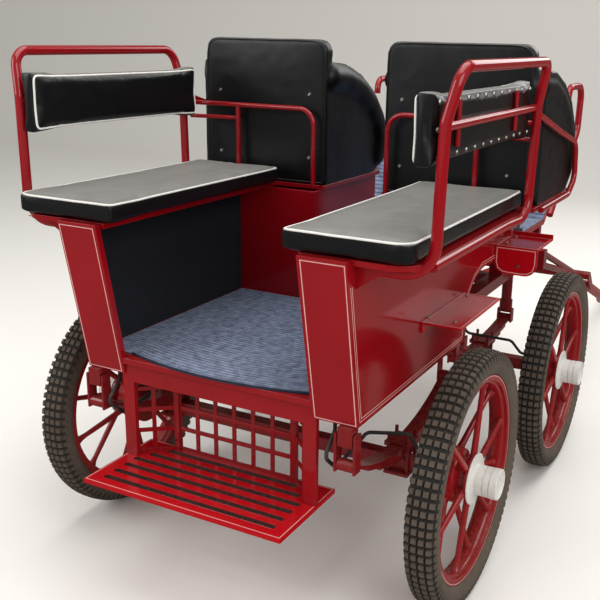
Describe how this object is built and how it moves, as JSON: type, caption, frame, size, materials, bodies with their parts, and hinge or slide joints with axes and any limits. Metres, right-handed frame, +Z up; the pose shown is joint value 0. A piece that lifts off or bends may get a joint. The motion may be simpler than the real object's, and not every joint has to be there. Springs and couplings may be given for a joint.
{
  "type": "marathon carriage",
  "caption": "Four-wheeled horse carriage with spoked wheels, leaf springs, facing side benches, front seats, a steered fore-carriage and lifting shafts",
  "frame": {"origin": "on the floor, under the middle of the box round the carriage and its shafts", "axes": "+X to the carriage's right, +Y forwards along the shafts, +Z up"},
  "size_m": [1.348, 4.3488, 1.468],
  "materials": {
    "painted_steel": "glossy dark red paint",
    "painted_panel": "glossy dark red paint with thin pale lines",
    "vinyl": "black vinyl with white piping",
    "tyre": "dusty black rubber",
    "hose": "extruded black rubber",
    "cap_plastic": "white plastic",
    "carpet": "ribbed blue-grey carpet",
    "lining": "dark blue carpet",
    "dark_steel": "black paint"
  },
  "bodies": {
    "carriage": {"chassis_frame": "painted_steel", "rear_axle": "painted_steel", "rear_springs": "painted_steel", "side_wall_left": "painted_panel", "side_wall_right": "painted_panel", "bulkhead": "painted_panel", "seat_box_left": "painted_panel", "seat_box_right": "painted_panel", "driver_floor": "painted_panel", "bench_board_left": "painted_panel", "bench_board_right": "painted_panel", "seat_board_left": "painted_panel", "seat_board_right": "painted_panel", "floor_panel": "painted_panel", "guard_rail_left": "painted_steel", "guard_rail_right": "painted_steel", "seat_rail_left": "painted_steel", "seat_rail_right": "painted_steel", "dash_rails": "painted_steel", "side_steps": "painted_steel", "front_steps": "painted_steel", "rear_step_frame": "painted_steel", "rear_step_plate": "painted_steel", "brake_lever": "dark_steel", "bench_cushion_left": "vinyl", "bench_cushion_right": "vinyl", "back_pad_left": "vinyl", "back_pad_right": "vinyl", "seat_shell_left": "vinyl", "seat_shell_right": "vinyl", "seat_cushion_left": "vinyl", "seat_cushion_right": "vinyl", "floor_carpet": "carpet", "ribbed_mat": "carpet", "brake_hoses": "hose", "wall_linings": "lining"},
    "fore_carriage": {"front_brake_hoses": "hose", "fore_frame": "painted_steel", "front_axle": "painted_steel", "front_springs": "painted_steel"},
    "shaft_left": {"shaft_left": "painted_steel"},
    "rear_left_wheel": {"tyre_rear_left": "tyre", "wheel_rear_left": "painted_steel", "hub_cap_rear_left": "cap_plastic"},
    "front_left_wheel": {"tyre_front_left": "tyre", "wheel_front_left": "painted_steel", "hub_cap_front_left": "cap_plastic"},
    "shaft_right": {"shaft_right": "painted_steel"},
    "rear_right_wheel": {"tyre_rear_right": "tyre", "wheel_rear_right": "painted_steel", "hub_cap_rear_right": "cap_plastic"},
    "front_right_wheel": {"tyre_front_right": "tyre", "wheel_front_right": "painted_steel", "hub_cap_front_right": "cap_plastic"}
  },
  "joints": [
    {"name": "fore_carriage_steer", "type": "hinge", "parent": "carriage", "child": "fore_carriage", "pos_m": [0, -0.7335, 0.722], "axis": [0, 0, 1], "range_deg": [-25, 25]},
    {"name": "rear_left_wheel_spin", "type": "hinge", "parent": "carriage", "child": "rear_left_wheel", "pos_m": [-0.581, -1.6655, 0.35], "axis": [1, 0, 0], "continuous": true},
    {"name": "front_left_wheel_spin", "type": "hinge", "parent": "fore_carriage", "child": "front_left_wheel", "pos_m": [-0.581, -0.7335, 0.35], "axis": [1, 0, 0], "continuous": true},
    {"name": "shaft_left_lift", "type": "hinge", "parent": "fore_carriage", "child": "shaft_left", "pos_m": [-0.505, 0.0545, 0.466], "axis": [1, 0, 0], "range_deg": [0, 75]},
    {"name": "rear_right_wheel_spin", "type": "hinge", "parent": "carriage", "child": "rear_right_wheel", "pos_m": [0.581, -1.6655, 0.35], "axis": [1, 0, 0], "continuous": true},
    {"name": "front_right_wheel_spin", "type": "hinge", "parent": "fore_carriage", "child": "front_right_wheel", "pos_m": [0.581, -0.7335, 0.35], "axis": [1, 0, 0], "continuous": true},
    {"name": "shaft_right_lift", "type": "hinge", "parent": "fore_carriage", "child": "shaft_right", "pos_m": [0.505, 0.0545, 0.466], "axis": [1, 0, 0], "range_deg": [0, 75]}
  ]
}
